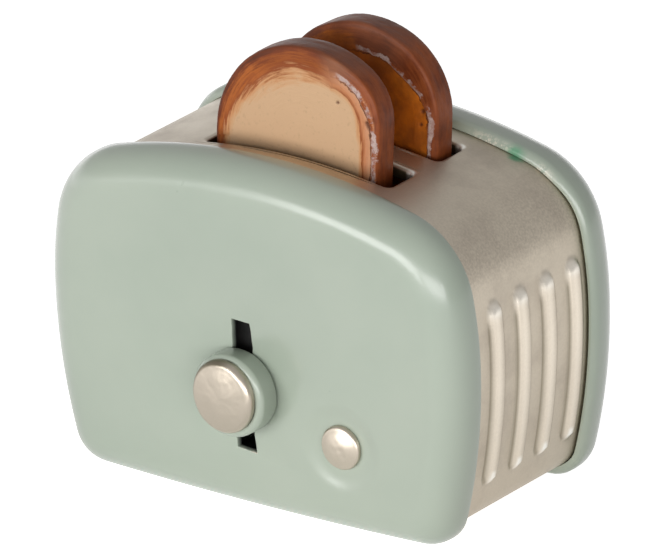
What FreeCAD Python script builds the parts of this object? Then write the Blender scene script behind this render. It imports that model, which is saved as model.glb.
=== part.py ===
import FreeCAD, Part
import math
import os

# Toy toaster: two enamelled dish shells, a plated band between them, a sliding bread
# carriage worked by a lever knob, a small dial, and two loose slices of toast.
# Millimetres. X to the right, Y to the rear, Z up. The origin is the middle of the
# pressed pad of the base plate, on the surface that the toaster stands on.

V = FreeCAD.Vector
UP = V(0, 0, 1)
REAR = V(0, 1, 0)
FRONT = V(0, -1, 0)

# Case outline, seen from the front
case_width = 60.0
case_height = 43.5
waist_height = 22.9
upper_side_radius = 50.0
lower_side_radius = 73.0
foot_corner_radius = 5.0
top_corner_radius = 11.0
top_radius = 82.0
bottom_radius = 600.0

# Pressed shells
case_depth = 33.7
front_shell_depth = 5.1
rear_shell_depth = 6.4
shell_wall = 0.8
shell_roll = 4.3
shell_lip_round = 0.3

# Plated band
band_inset = 1.2
sheet = 0.5
band_seat_gap = 0.12
band_foot_lap = 3.5

# Ribs pressed out of the band's sides
rib_count = 4
rib_pitch = 5.2
rib_width = 2.6
rib_rise = 0.6
rib_low = 6.8
rib_top_drop = 14.3
rib_middle_y = 0.8

# Bread slots in the band's top
bread_x = 1.0
slot_end_margin = 16.8
slot_width = 5.2
slot_pitch = 9.8
slot_corner = 0.8
slot_collar_depth = 1.0

# Toast: each slice has a round crown that sits to the right of the slot's middle
toast_height = 26.6
toast_thickness = 3.5
toast_flare = 4.0
toast_foot_round = 1.2
toast_round = 0.6
toast_seat_gap = 0.05
front_crown_excess = 0.3
front_crown_shift = 1.1
front_right_gap = 1.7
front_shoulder_inset = 6.5
rear_crown_gap = 0.6
rear_crown_shift = 1.9
rear_right_gap = 0.5
rear_shoulder_inset = 3.1

# Base plate
base_end_margin = 0.6
base_edge_margin = 0.5
pad_rod_margin = 1.65
pad_half_depth = 7.0
pad_corner = 2.5
base_rivet_inset = 1.6
base_rivet_y = 8.0

# Small rivets
rivet_radius = 0.7
rivet_head_radius = 1.25
rivet_edge_height = 0.15
rivet_dome_height = 0.3
rivet_gap = 0.03

# Carriage
tray_floor_drop = 14.5
tray_wall_height = 3.0
tray_wall_end = 3.2
tray_side_gap = 0.3
tray_end_gap = 0.6
tray_stop_width = 2.4
tongue_half_width = 3.2
tongue_end_gap = 0.4
ear_margin = 0.3

# Guide rods and what runs on them
rod_radius = 0.75
rod_slot_margin = 1.6
rod_fit = 0.05
rod_foot_radius = 1.15
rod_foot_height = 0.4
bush_radius = 1.5
bush_flange_radius = 2.0
bush_flange_height = 0.4
bush_drop = 2.6
bracket_drop = 1.0
bracket_half_depth = 2.4
bracket_reach = 2.2
bracket_flange = 2.6
rod_top_stand = 0.6

# Lever
lever_x = -0.6
lever_rest_z = 16.0
lever_slot_low = 8.3
lever_slot_high = 24.3
lever_slot_width = 2.9
stem_radius = 1.2
stem_head_radius = 2.0
stem_head_height = 0.6
knob_radius = 5.1
knob_length = 3.1
knob_gap = 0.3
knob_round = 0.6
knob_back_round = 0.3
knob_recess_depth = 0.9
knob_recess_gap = 0.25
cap_radius = 4.45
cap_edge_height = 1.1
cap_dome_height = 0.5
cap_round = 0.45
slider_half_width = 3.4
slider_drop = 5.0
glide_washer_radius = 3.2
glide_washer_height = 0.5
glide_gap = 0.05
spring_washer_radius = 2.8
spring_washer_sheet = 0.25
spring_washer_rise = 0.95
spring_washer_land = 0.5
slider_corner = 1.0

# Dial
dial_side_margin = 16.8
dial_z = 11.4
dimple_radius = 4.9
dimple_floor_radius = 3.5
dimple_depth = 0.35
dial_head_radius = 2.7
dial_edge_height = 0.5
dial_dome_height = 0.7
dial_shank_radius = 1.0
dial_fit = 0.05
dial_gap = 0.05
dial_washer_radius = 2.2
dial_washer_height = 0.5
dial_end_radius = 1.5
dial_end_height = 0.5

# Tie posts and their screws
post_side_margin = 8.0
post_low_z = 8.5
post_top_drop = 12.5
post_radius = 1.5
screw_radius = 0.8
screw_length = 5.5
screw_head_radius = 1.7
screw_head_height = 0.9
screw_slot_width = 0.45
screw_slot_depth = 0.4
screw_hole_gap = 0.15
thread_gap = 0.03
screw_tip_gap = 0.5

# How far a cutter runs past a face, and how near two places count as the same
cut_past = 1.0
same_place = 1e-4


# Centre of the circle that touches two larger circles from inside
def corner_centre(centre_a, radius_a, centre_b, radius_b, radius):
    dx, dz = centre_b[0] - centre_a[0], centre_b[1] - centre_a[1]
    gap = math.hypot(dx, dz)
    reach_a, reach_b = radius_a - radius, radius_b - radius
    along = (reach_a ** 2 - reach_b ** 2 + gap ** 2) / (2 * gap)
    across = math.sqrt(reach_a ** 2 - along ** 2)
    foot = (centre_a[0] + along * dx / gap, centre_a[1] + along * dz / gap)
    options = [(foot[0] + s * across * dz / gap, foot[1] - s * across * dx / gap) for s in (1, -1)]
    return max(options)


# Centres of the outline's arcs, as places across and up
half_width = case_width / 2
upper_side = (half_width - upper_side_radius, waist_height)
lower_side = (half_width - lower_side_radius, waist_height)
crown = (0.0, case_height - top_radius)
belly = (0.0, bottom_radius)
shoulder = corner_centre(upper_side, upper_side_radius, crown, top_radius, top_corner_radius)
foot = corner_centre(lower_side, lower_side_radius, belly, bottom_radius, foot_corner_radius)

# Places that follow from the sizes above
foot_rise = foot[1] - foot_corner_radius
face_y = case_depth / 2
inner_face_y = face_y - shell_wall
inner_roll = shell_roll - shell_wall
band_in = band_inset + sheet
seat_rise = math.sqrt(inner_roll ** 2 - (inner_roll - (band_inset - shell_wall)) ** 2)
band_half_depth = inner_face_y - inner_roll + seat_rise - band_seat_gap
base_half_length = foot[0] - base_end_margin
base_half_depth = band_half_depth - base_edge_margin
base_rivet_x = base_half_length - base_rivet_inset
band_foot_reach = base_half_length - band_foot_lap
band_low = foot_rise + band_inset
base_low = band_low + sheet
base_high = base_low + sheet
rib_high = case_height - rib_top_drop
slot_length = case_width - 2 * slot_end_margin
tray_floor_top = case_height - tray_floor_drop
tray_floor_low = tray_floor_top - sheet
slot_ys = (-slot_pitch / 2, slot_pitch / 2)
trough_half = toast_thickness / 2 + tray_side_gap
tray_half_depth = slot_pitch / 2 + trough_half + sheet
front_crown_radius = slot_length / 2 + front_crown_excess
rear_crown_radius = slot_length / 2 - rear_crown_gap
front_shoulder_radius = front_crown_radius - front_shoulder_inset
rear_shoulder_radius = rear_crown_radius - rear_shoulder_inset
front_right_reach = slot_length / 2 - front_right_gap
rear_right_reach = slot_length / 2 - rear_right_gap
front_left_reach = front_crown_radius - front_crown_shift
rear_left_reach = rear_crown_radius - rear_crown_shift
stop_reach = max(front_left_reach, rear_left_reach, front_right_reach, rear_right_reach) + tray_end_gap
rod_spread = slot_length / 2 + rod_slot_margin
tray_wall_half_length = slot_length / 2 - tray_wall_end
pad_half_length = rod_spread - abs(bread_x) - rod_foot_radius - pad_rod_margin
tray_half_length = rod_spread + bush_flange_radius + ear_margin
rod_xs = (bread_x - rod_spread, bread_x + rod_spread)
slider_front_y = -inner_face_y + glide_gap + glide_washer_height + spring_washer_rise
slider_rear_y = slider_front_y + sheet
tongue_end_y = slider_rear_y + tongue_end_gap
lever_travel_up = lever_slot_high - stem_radius - lever_rest_z
lever_travel_down = lever_rest_z - lever_slot_low - stem_radius
dial_x = half_width - dial_side_margin
post_x = half_width - post_side_margin
post_high_z = case_height - post_top_drop
bracket_low = tray_floor_top + bush_flange_height + lever_travel_up + bracket_drop


# Builds an arc about a centre in the plane seen from the front
def arc(centre, radius, start, end, y):
    points = []
    for angle in (start, (start + end) / 2, end):
        points.append(V(centre[0] + radius * math.cos(angle), y, centre[1] + radius * math.sin(angle)))
    return Part.Arc(*points).toShape()


# The angle of the line from one place to another, seen from the front
def direction(start, end):
    return math.atan2(end[1] - start[1], end[0] - start[0])


# The case outline drawn in by an inset, as a face; its lower edge bows, or lies flat as the band's feet do
def outline_face(inset, y, flat=False):
    belly_turn = -math.pi / 2 if flat else direction(belly, foot)
    foot_turn = direction(lower_side, foot)
    side_turn = direction(upper_side, shoulder)
    top_turn = direction(crown, shoulder)
    runs = [(foot, foot_corner_radius, belly_turn, foot_turn),
            (lower_side, lower_side_radius, foot_turn, 0.0),
            (upper_side, upper_side_radius, 0.0, side_turn),
            (shoulder, top_corner_radius, side_turn, top_turn)]
    edges = [arc(c, r - inset, a, b, y) for c, r, a, b in runs]
    edges.append(arc(crown, top_radius - inset, top_turn, math.pi - top_turn, y))
    for c, r, a, b in reversed(runs):
        edges.append(arc((-c[0], c[1]), r - inset, math.pi - b, math.pi - a, y))
    if flat:
        low = foot_rise + inset
        edges.append(Part.makeLine(V(-foot[0], y, low), V(foot[0], y, low)))
    else:
        edges.append(arc(belly, bottom_radius - inset, -math.pi - belly_turn, belly_turn, y))
    return Part.Face(Part.Wire(edges))


# The outline as a block from one depth to another
def outline_block(inset, y_from, y_to, flat=False):
    return outline_face(inset, y_from, flat).extrude(V(0, y_to - y_from, 0))


# The flat-footed outline as a block as deep as the band
def band_block(inset):
    return outline_block(inset, -band_half_depth, band_half_depth, True)


# A plain block between two places on each axis
def box(x, y, z):
    return Part.makeBox(x[1] - x[0], y[1] - y[0], z[1] - z[0], V(x[0], y[0], z[0]))


# A round bar that runs to the rear from its front end
def bar(x, z, y_from, y_to, radius):
    return Part.makeCylinder(radius, y_to - y_from, V(x, y_from, z), REAR)


# An upright round bar
def stick(x, y, z_from, z_to, radius):
    return Part.makeCylinder(radius, z_to - z_from, V(x, y, z_from), UP)


# A turned piece: its profile is a list of radius and height, spun about an axis
def turned(profile, place, axis):
    points = [V(r, 0, h) for r, h in profile]
    solid = Part.Face(Part.makePolygon(points + points[:1])).revolve(V(0, 0, 0), UP, 360)
    solid.Placement = FreeCAD.Placement(place, FreeCAD.Rotation(UP, axis))
    return solid


# A disc with a domed top, standing on its base along an axis
def domed_disc(place, axis, radius, edge_height, dome_height):
    ball = (radius ** 2 + dome_height ** 2) / (2 * dome_height)
    rim = V(radius, 0, edge_height)
    peak = V(0, 0, edge_height + dome_height)
    half = math.asin(radius / ball) / 2
    middle = V(ball * math.sin(half), 0, edge_height + dome_height - ball + ball * math.cos(half))
    edges = [Part.makeLine(V(0, 0, 0), V(radius, 0, 0)),
             Part.makeLine(V(radius, 0, 0), rim),
             Part.Arc(rim, middle, peak).toShape(),
             Part.makeLine(peak, V(0, 0, 0))]
    solid = Part.Face(Part.Wire(edges)).revolve(V(0, 0, 0), UP, 360)
    solid.Placement = FreeCAD.Placement(place, FreeCAD.Rotation(UP, axis))
    return solid


# Edges that lie wholly in one plane across X, Y or Z
def edges_at(solid, axis, value):
    found = []
    for edge in solid.Edges:
        low = getattr(edge.BoundBox, axis + "Min")
        high = getattr(edge.BoundBox, axis + "Max")
        if abs(low - value) < same_place and abs(high - value) < same_place:
            found.append(edge)
    return found


# Straight edges that stand upright
def upright_edges(solid):
    return [e for e in solid.Edges if e.BoundBox.XLength < same_place and e.BoundBox.YLength < same_place]


# Mirrors a piece between front and rear
def to_rear(shape):
    return shape.mirror(V(0, 0, 0), REAR)


# Writes one named piece as its own STEP file
def save(name, shape):
    shape = shape.removeSplitter()
    shape.exportStep("parts/" + name + ".step")
    print(name, len(shape.Solids), "solids", round(shape.Volume, 2), "mm3")


# A pressed dish with a rolled edge, drawn as the front one
def dish(depth):
    lip_y = face_y - depth
    outer = outline_block(0.0, -face_y, -lip_y)
    outer = outer.makeFillet(shell_roll, edges_at(outer, "Y", -face_y))
    inner = outline_block(shell_wall, -inner_face_y, -lip_y)
    inner = inner.makeFillet(inner_roll, edges_at(inner, "Y", -inner_face_y))
    shell = outer.cut(inner)
    return shell.makeFillet(shell_lip_round, edges_at(shell, "Y", -lip_y))


# The shallow dish pressed into the front face round the dial
def dimple(y):
    return Part.makeCone(dimple_radius, dimple_floor_radius, dimple_depth, V(dial_x, y, dial_z), REAR)


# The front shell has the lever slot and a dimple with the dial's hole
def front_shell():
    shell = dish(front_shell_depth)
    shell = shell.fuse(dimple(-inner_face_y)).cut(dimple(-face_y))
    shell = shell.cut(box((lever_x - lever_slot_width / 2, lever_x + lever_slot_width / 2),
                          (-face_y - cut_past, -inner_face_y + cut_past), (lever_slot_low, lever_slot_high)))
    return shell.cut(bar(dial_x, dial_z, -face_y - cut_past, -inner_face_y + cut_past,
                         dial_shank_radius + dial_fit))


# The four tie posts: side, level, and place on the rear face
def post_places():
    return [(side, level, sx * post_x, z) for level, z in (("upper", post_high_z), ("lower", post_low_z))
            for side, sx in (("left", -1), ("right", 1))]


# The rear shell has a hole for each post screw
def rear_shell():
    shell = to_rear(dish(rear_shell_depth))
    for side, level, x, z in post_places():
        shell = shell.cut(bar(x, z, inner_face_y - cut_past, face_y + cut_past,
                              screw_radius + screw_hole_gap))
    return shell


# A block with round ends that stands across the band's side, seen from the side
def rib_block(y, width):
    radius = width / 2
    low, high = rib_low + rib_width / 2, rib_high - rib_width / 2
    block = box((-half_width, half_width), (y - radius, y + radius), (low, high))
    for z in (low, high):
        end = Part.makeCylinder(radius, case_width, V(-half_width, y, z), V(1, 0, 0))
        block = block.fuse(end)
    middle = box((-half_width / 2, half_width / 2), (y - width, y + width), (0, case_height))
    return block.cut(middle)


# The slot hole, or with a margin the block that its collar is cut from
def slot_block(y, margin):
    half_length = slot_length / 2 + margin
    half = slot_width / 2 + margin
    block = box((bread_x - half_length, bread_x + half_length), (y - half, y + half),
                (waist_height, case_height + cut_past))
    return block.makeFillet(slot_corner + margin, upright_edges(block))


# Where the base plate is riveted to the band's feet
def base_rivet_places():
    return [(sx * base_rivet_x, sy * base_rivet_y) for sx in (-1, 1) for sy in (-1, 1)]


# Upright holes through a piece
def drill(shape, places, z_range, radius):
    for x, y in places:
        shape = shape.cut(stick(x, y, z_range[0], z_range[1], radius))
    return shape


# One bent sheet: top, sides and turned-in feet, with ribs and collared bread slots
def band():
    outer = band_block(band_inset)
    inner = band_block(band_in)
    crest = band_block(band_inset - rib_rise)
    groove = band_block(band_in - rib_rise)
    strip = outer.cut(inner)
    strip = strip.cut(box((-band_foot_reach, band_foot_reach), (-face_y, face_y), (0, waist_height / 2)))
    for y in slot_ys:
        collar = outer.cut(band_block(band_in + slot_collar_depth))
        strip = strip.fuse(collar.common(slot_block(y, sheet)))
    first = rib_middle_y - rib_pitch * (rib_count - 1) / 2
    for n in range(rib_count):
        y = first + n * rib_pitch
        rib = rib_block(y, rib_width).common(crest.cut(inner))
        hollow = rib_block(y, rib_width - 2 * sheet).common(groove)
        strip = strip.fuse(rib).cut(hollow)
    for y in slot_ys:
        strip = strip.cut(slot_block(y, 0.0))
    return drill(strip, base_rivet_places(), (0, waist_height / 2), rivet_radius + rivet_gap)


# A rivet through stacked sheets, with a head on each side
def rivet(x, y, low, high):
    shank = stick(x, y, low, high, rivet_radius)
    foot = domed_disc(V(x, y, low), V(0, 0, -1), rivet_head_radius, rivet_edge_height, rivet_dome_height)
    head = domed_disc(V(x, y, high), UP, rivet_head_radius, rivet_edge_height, rivet_dome_height)
    return shank.fuse([foot, head])


# The base plate lies on the band's feet; its middle is pressed down to the ground
def base_plate():
    plate = box((-base_half_length, base_half_length), (-base_half_depth, base_half_depth),
                (base_low, base_high))
    pan = box((-pad_half_length, pad_half_length), (-pad_half_depth, pad_half_depth), (0, base_high))
    pan = pan.makeFillet(pad_corner, upright_edges(pan))
    pan = pan.makeFillet(sheet, edges_at(pan, "Z", 0.0))
    well = box((sheet - pad_half_length, pad_half_length - sheet),
               (sheet - pad_half_depth, pad_half_depth - sheet), (sheet, base_high))
    well = well.makeFillet(pad_corner - sheet, upright_edges(well))
    plate = plate.fuse(pan).cut(well)
    plate = drill(plate, base_rivet_places(), (0, case_height), rivet_radius + rivet_gap)
    return drill(plate, [(x, 0) for x in rod_xs], (0, case_height), rod_radius + rivet_gap)


# A rod with a foot under the base plate, on which the tray slides
def guide_rod(x):
    top = bracket_low + sheet + rod_top_stand
    rod = stick(x, 0, base_low - rod_foot_height, top, rod_radius)
    return rod.fuse(stick(x, 0, base_low - rod_foot_height, base_low, rod_foot_radius))


# A small bent bracket under the band's top that holds a rod's upper end
def rod_bracket(x, side):
    near = x - side * bush_flange_radius
    web_in = x + side * bracket_reach
    web_out = web_in + side * sheet
    far = web_out + side * bracket_flange
    depth = (-bracket_half_depth, bracket_half_depth)
    under = outline_block(band_in, *depth)
    top_sheet = under.cut(outline_block(band_in + sheet, *depth))
    flange = top_sheet.common(box(sorted((web_in, far)), depth, (waist_height, case_height)))
    web = under.common(box(sorted((web_in, web_out)), depth, (bracket_low, case_height)))
    shelf = box(sorted((near, web_out)), depth, (bracket_low, bracket_low + sheet))
    bracket = flange.fuse([web, shelf])
    return bracket.cut(stick(x, 0, bracket_low - cut_past, bracket_low + cut_past, rod_radius + rivet_gap))


# Where the slider's arm is riveted under the tray's tongue
def slider_rivet_places():
    y = (-tray_half_depth + tongue_end_y) / 2
    return [(lever_x - tongue_half_width / 2, y), (lever_x + tongue_half_width / 2, y)]


# The tray that carries both slices: a floor, lanced walls, end stops and a tongue
def carriage_tray():
    floor_z = (tray_floor_low, tray_floor_top)
    wall_z = (tray_floor_low, tray_floor_top + tray_wall_height)
    tray = box((bread_x - stop_reach - sheet, bread_x + stop_reach + sheet),
               (-tray_half_depth, tray_half_depth), floor_z)
    ears = box((bread_x - tray_half_length, bread_x + tray_half_length),
               (-bush_flange_radius - ear_margin, bush_flange_radius + ear_margin), floor_z)
    tongue = box((lever_x - tongue_half_width, lever_x + tongue_half_width),
                 (tongue_end_y, sheet - tray_half_depth), floor_z)
    pieces = [ears, tongue]
    long_x = (bread_x - tray_wall_half_length, bread_x + tray_wall_half_length)
    for y in slot_ys:
        for side in (-1, 1):
            edge = y + side * trough_half
            pieces.append(box(long_x, sorted((edge, edge + side * sheet)), wall_z))
            stop = bread_x + side * stop_reach
            pieces.append(box(sorted((stop, stop + side * sheet)),
                              (y - tray_stop_width / 2, y + tray_stop_width / 2), wall_z))
    tray = tray.fuse(pieces)
    tray = drill(tray, [(x, 0) for x in rod_xs], (0, case_height), bush_radius + rivet_gap)
    return drill(tray, slider_rivet_places(), (0, case_height), rivet_radius + rivet_gap)


# A flanged bush that hangs in the tray and runs on its rod
def tray_bush(x):
    low = tray_floor_low - bush_drop
    bush = stick(x, 0, low, tray_floor_top, bush_radius)
    flange = stick(x, 0, tray_floor_top, tray_floor_top + bush_flange_height, bush_flange_radius)
    return bush.fuse(flange).cut(stick(x, 0, low - cut_past, tray_floor_top + cut_past, rod_radius + rod_fit))


# The bent plate behind the front shell that joins the lever to the tray
def slider_plate():
    top = tray_floor_low
    width = (lever_x - slider_half_width, lever_x + slider_half_width)
    upright = box(width, (slider_front_y, slider_rear_y), (lever_rest_z - slider_drop, top))
    low_edges = edges_at(upright, "Z", lever_rest_z - slider_drop)
    low_corners = [e for e in low_edges if e.BoundBox.YLength > sheet / 2]
    upright = upright.makeFillet(slider_corner, low_corners)
    arm = box(width, (slider_front_y, -tray_half_depth), (top - sheet, top))
    plate = upright.fuse(arm)
    plate = plate.cut(bar(lever_x, lever_rest_z, slider_front_y - cut_past, slider_rear_y + cut_past,
                          stem_radius + rivet_gap))
    return drill(plate, slider_rivet_places(), (0, case_height), rivet_radius + rivet_gap)


# The knob's rear and front faces
def knob_back_y():
    return -face_y - knob_gap


def knob_front_y():
    return knob_back_y() - knob_length


# The stem runs from the knob's recess, through the slot, to its peened end
def lever_stem():
    front = knob_front_y() + knob_recess_depth
    stem = bar(lever_x, lever_rest_z, front, slider_rear_y, stem_radius)
    end = domed_disc(V(lever_x, slider_rear_y, lever_rest_z), REAR, stem_head_radius,
                     stem_head_height / 2, stem_head_height / 2)
    return stem.fuse(end)


# The enamelled cup of the knob, with a recess in front for the cap's boss
def knob_cup():
    back, front = knob_back_y(), knob_front_y()
    cup = bar(lever_x, lever_rest_z, front, back, knob_radius)
    cup = cup.makeFillet(knob_round, edges_at(cup, "Y", front))
    cup = cup.makeFillet(knob_back_round, edges_at(cup, "Y", back))
    cup = cup.cut(bar(lever_x, lever_rest_z, front - cut_past, front + knob_recess_depth,
                      cap_radius - knob_round + knob_recess_gap))
    return cup.cut(bar(lever_x, lever_rest_z, front, back + cut_past, stem_radius + rivet_gap))


# A domed cap whose boss fills the recess of the cup
def knob_cap():
    front = knob_front_y()
    cap = domed_disc(V(lever_x, front, lever_rest_z), FRONT, cap_radius, cap_edge_height, cap_dome_height)
    rims = edges_at(cap, "Y", front) + edges_at(cap, "Y", front - cap_edge_height)
    cap = cap.makeFillet(cap_round, rims)
    return cap.fuse(bar(lever_x, lever_rest_z, front, front + knob_recess_depth, cap_radius - knob_round))


# The fibre washer that slides on the inside of the front shell
def glide_washer():
    front = -inner_face_y + glide_gap
    ring = bar(lever_x, lever_rest_z, front, front + glide_washer_height, glide_washer_radius)
    return ring.cut(bar(lever_x, lever_rest_z, front - cut_past, front + cut_past, stem_radius + rivet_gap))


# A dished spring washer between the glide washer and the slider
def spring_washer():
    front = -inner_face_y + glide_gap + glide_washer_height
    rise = slider_front_y - front
    inner = stem_radius + rivet_gap
    land = inner + spring_washer_land
    thick = spring_washer_sheet
    profile = [(inner, 0), (land, 0), (spring_washer_radius, rise - thick), (spring_washer_radius, rise),
               (land - thick / 2, thick), (inner, thick)]
    return turned(profile, V(lever_x, front, lever_rest_z), REAR)


# The flat floor of the dimple, where the dial sits
def dimple_floor_y():
    return -face_y + dimple_depth


# The dial's domed head, its shank through the shell and its spread end
def dial_stud():
    seat = dimple_floor_y() - dial_gap
    end = -inner_face_y + dimple_depth + dial_gap + dial_washer_height
    head = domed_disc(V(dial_x, seat, dial_z), FRONT, dial_head_radius,
                      dial_edge_height, dial_dome_height)
    shank = bar(dial_x, dial_z, seat, end, dial_shank_radius)
    tail = domed_disc(V(dial_x, end, dial_z), REAR, dial_end_radius,
                      dial_end_height / 2, dial_end_height / 2)
    return head.fuse([shank, tail])


# The washer under the dial's spread end
def dial_washer():
    front = -inner_face_y + dimple_depth + dial_gap
    ring = bar(dial_x, dial_z, front, front + dial_washer_height, dial_washer_radius)
    return ring.cut(bar(dial_x, dial_z, front - cut_past, front + cut_past, dial_shank_radius + rivet_gap))


# A post soldered inside the front shell, bored for its screw at the rear
def tie_post(x, z):
    post = bar(x, z, -inner_face_y, inner_face_y, post_radius)
    return post.cut(bar(x, z, inner_face_y - screw_length, inner_face_y + cut_past,
                        screw_radius + thread_gap))


# A slotted round-head screw through the rear shell
def post_screw(x, z):
    tip = inner_face_y - screw_length + screw_tip_gap
    head = domed_disc(V(x, face_y, z), REAR, screw_head_radius,
                      screw_head_height / 2, screw_head_height / 2)
    groove = box((x - screw_head_radius, x + screw_head_radius),
                 (face_y + screw_head_height - screw_slot_depth, face_y + screw_head_height + cut_past),
                 (z - screw_slot_width / 2, z + screw_slot_width / 2))
    return bar(x, z, tip, face_y, screw_radius).fuse(head.cut(groove))


# A slice: straight left side, round crown, tighter right shoulder, right side that flares upward
def toast(y, crown_radius, shift, right_reach, shoulder_radius):
    low = tray_floor_top + toast_seat_gap
    front = y - toast_thickness / 2
    top = (bread_x + shift, low + toast_height - crown_radius)
    flare = math.radians(toast_flare)
    inset = crown_radius - shoulder_radius
    shoulder_x = bread_x + right_reach - shoulder_radius
    bend = (shoulder_x, top[1] + math.sqrt(inset ** 2 - (shoulder_x - top[0]) ** 2))
    turn = direction(top, bend)
    left = top[0] - crown_radius
    side = (bend[0] + shoulder_radius * math.cos(flare), bend[1] - shoulder_radius * math.sin(flare))
    right = side[0] - (side[1] - low) * math.tan(flare)
    corners = [V(left, front, top[1]), V(left, front, low), V(right, front, low)]
    corners.append(V(side[0], front, side[1]))
    edges = [Part.makeLine(a, b) for a, b in zip(corners, corners[1:])]
    edges.append(arc(bend, shoulder_radius, -flare, turn, front))
    edges.append(arc(top, crown_radius, turn, math.pi, front))
    block = Part.Face(Part.Wire(edges)).extrude(V(0, toast_thickness, 0))
    feet = [e for e in block.Edges if e.BoundBox.YLength > toast_thickness - 0.1
            and abs(e.BoundBox.ZMax - low) < 1e-3]
    block = block.makeFillet(toast_foot_round, feet)
    rims = edges_at(block, "Y", front) + edges_at(block, "Y", front + toast_thickness)
    return block.makeFillet(toast_round, rims)


os.makedirs("parts", exist_ok=True)
print("lever travel", round(-lever_travel_down, 3), round(lever_travel_up, 3))

save("front_shell", front_shell())
save("rear_shell", rear_shell())
save("band", band())
save("base_plate", base_plate())
save("base_rivets", Part.Compound([rivet(x, y, band_low, base_high) for x, y in base_rivet_places()]))
for side, level, x, z in post_places():
    save("tie_post_" + level + "_" + side, tie_post(x, z))
save("post_screws", Part.Compound([post_screw(x, z) for side, level, x, z in post_places()]))
for name, x, turn in (("left", rod_xs[0], -1), ("right", rod_xs[1], 1)):
    save("guide_rod_" + name, guide_rod(x))
    save("rod_bracket_" + name, rod_bracket(x, turn))
    save("tray_bush_" + name, tray_bush(x))
save("carriage_tray", carriage_tray())
save("slider_plate", slider_plate())
save("slider_rivets", Part.Compound([rivet(x, y, tray_floor_low - sheet, tray_floor_top)
                                     for x, y in slider_rivet_places()]))
save("lever_stem", lever_stem())
save("knob_cup", knob_cup())
save("knob_cap", knob_cap())
save("glide_washer", glide_washer())
save("spring_washer", spring_washer())
save("dial_stud", dial_stud())
save("dial_washer", dial_washer())
save("toast_front", toast(slot_ys[0], front_crown_radius, front_crown_shift,
                          front_right_reach, front_shoulder_radius))
save("toast_rear", toast(slot_ys[1], rear_crown_radius, rear_crown_shift,
                         rear_right_reach, rear_shoulder_radius))
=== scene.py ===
import bpy
import bmesh
import math
from mathutils import Matrix, Vector, noise


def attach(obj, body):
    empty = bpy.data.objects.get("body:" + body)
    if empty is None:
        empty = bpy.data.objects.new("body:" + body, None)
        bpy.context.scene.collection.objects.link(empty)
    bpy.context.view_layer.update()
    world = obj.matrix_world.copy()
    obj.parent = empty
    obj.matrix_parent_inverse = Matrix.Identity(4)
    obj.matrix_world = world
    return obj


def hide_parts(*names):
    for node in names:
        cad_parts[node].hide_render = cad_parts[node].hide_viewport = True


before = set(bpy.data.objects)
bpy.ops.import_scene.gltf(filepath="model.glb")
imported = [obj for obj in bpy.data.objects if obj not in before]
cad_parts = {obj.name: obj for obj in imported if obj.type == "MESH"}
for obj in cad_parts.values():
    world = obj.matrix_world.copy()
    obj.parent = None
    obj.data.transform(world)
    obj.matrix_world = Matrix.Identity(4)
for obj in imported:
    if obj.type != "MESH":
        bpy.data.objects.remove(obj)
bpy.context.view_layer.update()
mm = 0.001
print("frame loaded:", len(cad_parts), "nodes")

# Sizes that several pieces share, in millimetres, as the solids have them
case = {
    "halfWidth": 30.0, "height": 43.5, "waist": 22.9,
    "upperSide": 50.0, "lowerSide": 73.0, "footCorner": 5.0, "topCorner": 11.0, "top": 82.0, "bottom": 600.0,
    "faceY": 16.85, "frontDepth": 5.1, "rearDepth": 6.4, "wall": 0.8, "roll": 4.3,
    "slotX": 1.0, "slotPitch": 9.8, "leverX": -0.6, "leverZ": 16.0,
}


# Scene helpers

def deselectAll():
    if bpy.context.object and bpy.context.object.mode != "OBJECT":
        bpy.ops.object.mode_set(mode="OBJECT")
    bpy.ops.object.select_all(action="DESELECT")


def activate(piece):
    deselectAll()
    piece.select_set(True)
    bpy.context.view_layer.objects.active = piece


def editPiece(piece, kind="VERT"):
    activate(piece)
    bpy.ops.object.mode_set(mode="EDIT")
    bpy.ops.mesh.select_mode(type=kind)
    bpy.ops.mesh.select_all(action="DESELECT")


def leaveEdit():
    bpy.ops.object.mode_set(mode="OBJECT")


# Selects what passes the test, in edit mode; returns how many
def pick(piece, kind, test):
    bpy.ops.mesh.select_all(action="DESELECT")
    bm = bmesh.from_edit_mesh(piece.data)
    parts = {"VERT": bm.verts, "EDGE": bm.edges, "FACE": bm.faces}[kind]
    found = 0
    for part in parts:
        if test(part):
            part.select_set(True)
            found += 1
    bm.select_flush_mode()
    bmesh.update_edit_mesh(piece.data)
    return found


def addModifier(piece, kind, **settings):
    activate(piece)
    modifier = piece.modifiers.new(kind.title(), kind)
    for key, value in settings.items():
        setattr(modifier, key, value)
    bpy.ops.object.modifier_apply(modifier=modifier.name)


# Cuts a piece with another, which is then thrown away
def cutWith(piece, cutter):
    addModifier(piece, "BOOLEAN", operation="DIFFERENCE", solver="EXACT", object=cutter)
    bpy.data.objects.remove(cutter)


def mergeDoubles(piece, distance=0.004):
    editPiece(piece)
    bpy.ops.mesh.select_all(action="SELECT")
    bpy.ops.mesh.remove_doubles(threshold=distance * mm)
    leaveEdit()


def joinInto(piece, others):
    activate(piece)
    for other in others:
        other.select_set(True)
    bpy.ops.object.join()
    mergeDoubles(piece)


# Turns all faces outwards; on an open sheet the face with the most of a measure shows which way that is
def outwards(piece, measure=None, way=None):
    editPiece(piece)
    bpy.ops.mesh.select_all(action="SELECT")
    bpy.ops.mesh.normals_make_consistent(inside=False)
    leaveEdit()
    if measure and max(piece.data.polygons, key=measure).normal.dot(way) < 0:
        editPiece(piece)
        bpy.ops.mesh.select_all(action="SELECT")
        bpy.ops.mesh.flip_normals()
        leaveEdit()


# Puts an object's place into its mesh
def fixPlace(piece):
    activate(piece)
    bpy.ops.object.transform_apply(location=True, rotation=True, scale=True)


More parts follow.
